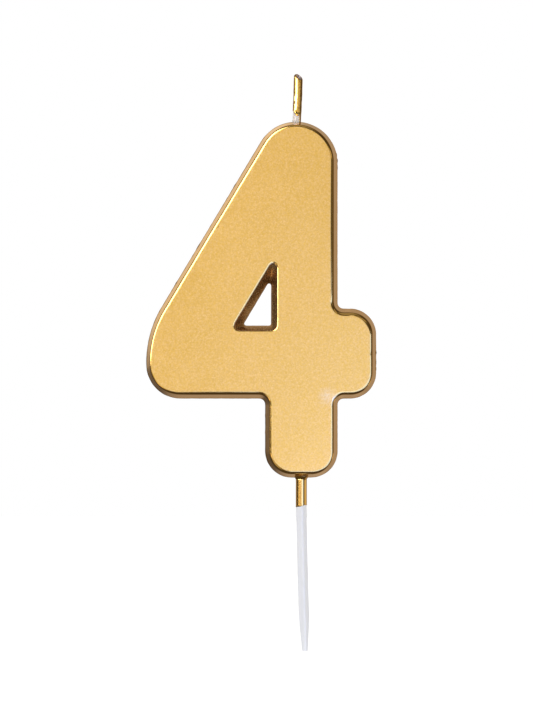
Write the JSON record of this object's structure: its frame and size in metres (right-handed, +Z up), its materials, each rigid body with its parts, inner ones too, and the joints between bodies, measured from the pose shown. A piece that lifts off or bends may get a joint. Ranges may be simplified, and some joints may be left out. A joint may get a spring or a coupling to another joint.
{
  "type": "number birthday candle",
  "caption": "Number birthday candle: a moulded wax figure 4 under metallic gold lacquer, with a wick on top and a push-in plastic pick below.",
  "frame": {"origin": "where the pick's axis meets the figure's underside, on the mould's parting plane", "axes": "+X to the figure's right as seen from the front, +Y from the front face to the back face, +Z up from the pick to the wick"},
  "size_m": [0.0452, 0.009, 0.1139],
  "materials": {
    "gold_lacquer": "satin metallic gold lacquer with a fine grain, glossier on the rounded edges",
    "wax": "white paraffin wax, slightly translucent",
    "cotton": "waxed white cotton yarn",
    "white_plastic": "moulded white plastic, semi-gloss"
  },
  "bodies": {
    "pick_body": {"pick": "white_plastic", "pick_gold": "gold_lacquer"},
    "candle_body": {"wax_digit": "wax", "gold_skin": "gold_lacquer", "wick_wax": "wax", "wick_gold": "gold_lacquer", "wick_strand_1": "cotton", "wick_strand_2": "cotton", "wick_strand_3": "cotton"}
  },
  "joints": [
    {"name": "candle_pull_off", "type": "slide", "parent": "pick_body", "child": "candle_body", "axis": [0, 0, 1], "range_m": [0, 0.016]}
  ]
}
